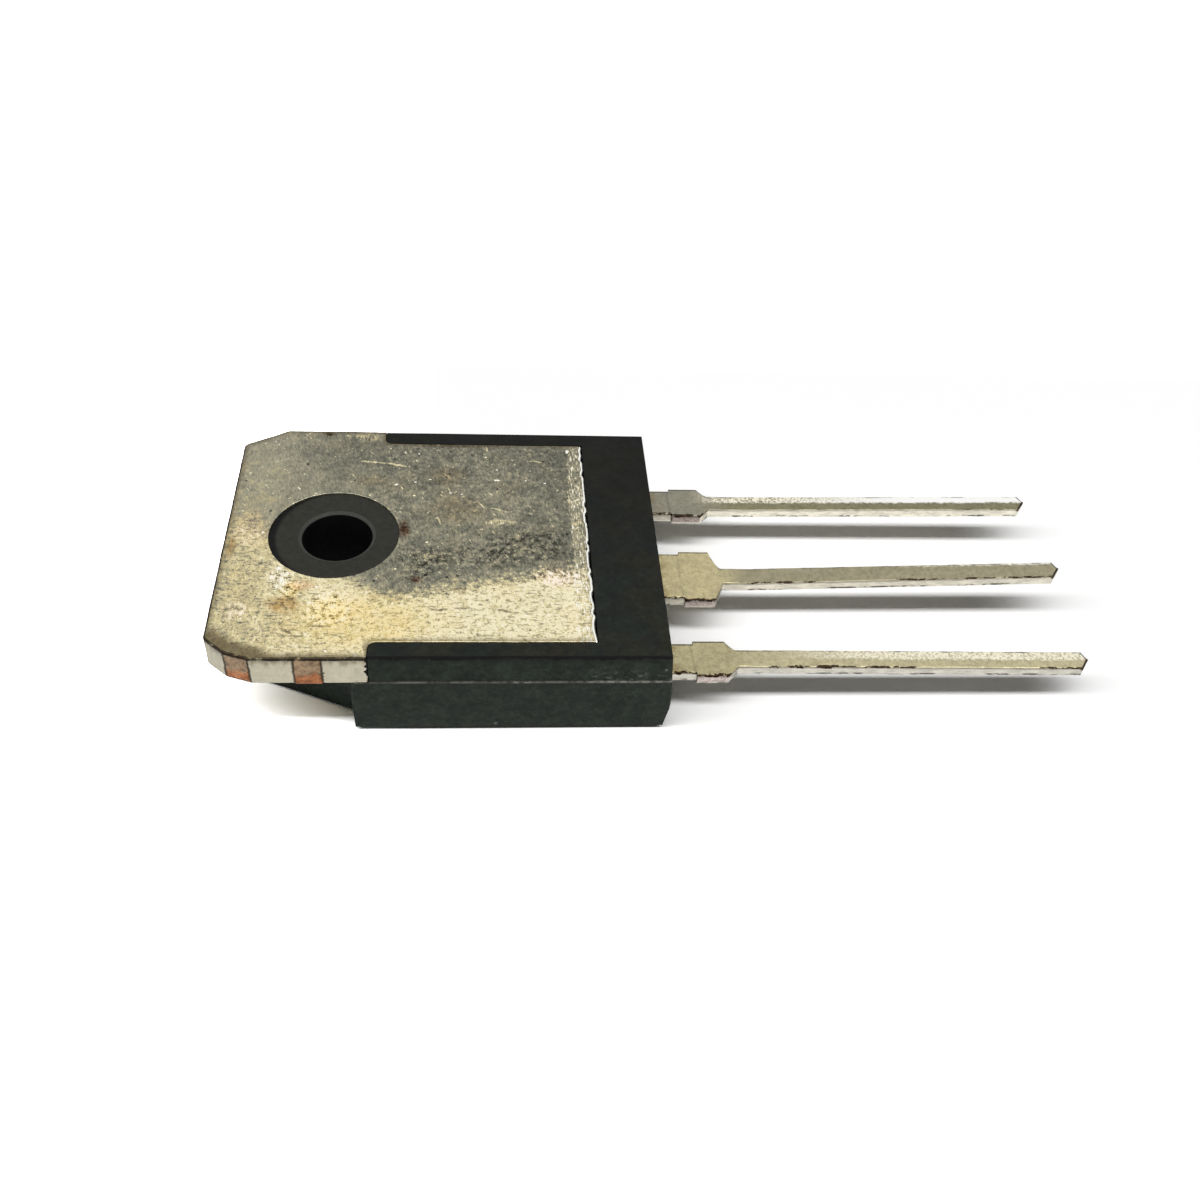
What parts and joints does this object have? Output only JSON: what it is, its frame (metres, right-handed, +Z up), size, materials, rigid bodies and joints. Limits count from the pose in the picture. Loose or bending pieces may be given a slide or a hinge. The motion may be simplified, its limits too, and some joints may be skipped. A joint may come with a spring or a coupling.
{
  "type": "diode",
  "caption": "Dual rectifier diode in a flat moulded power package with an exposed metal tab, a mounting hole and three flat leads.",
  "frame": {"origin": "on the axis of the mounting hole, in the plane of the flat moulded front that the part lies on", "axes": "+X along the leads towards their tips, +Y across the package towards the first outer lead, +Z up out of the bare metal back"},
  "size_m": [0.0398, 0.0158, 0.0048],
  "materials": {
    "moulding": "matt black moulding compound",
    "tinned_copper": "dull tinned copper, tarnished and scratched",
    "silicon": "polished silicon with a metal contact",
    "solder": "soft solder",
    "wire": "drawn aluminium wire"
  },
  "bodies": {
    "root": {"moulded_body": "moulding", "heatsink_leadframe": "tinned_copper", "anode_lead_1": "tinned_copper", "anode_lead_2": "tinned_copper", "diode_chip_1": "silicon", "diode_chip_2": "silicon", "chip_solder_1": "solder", "chip_solder_2": "solder", "bond_wire_1a": "wire", "bond_wire_1b": "wire", "bond_wire_2a": "wire", "bond_wire_2b": "wire"}
  },
  "joints": []
}
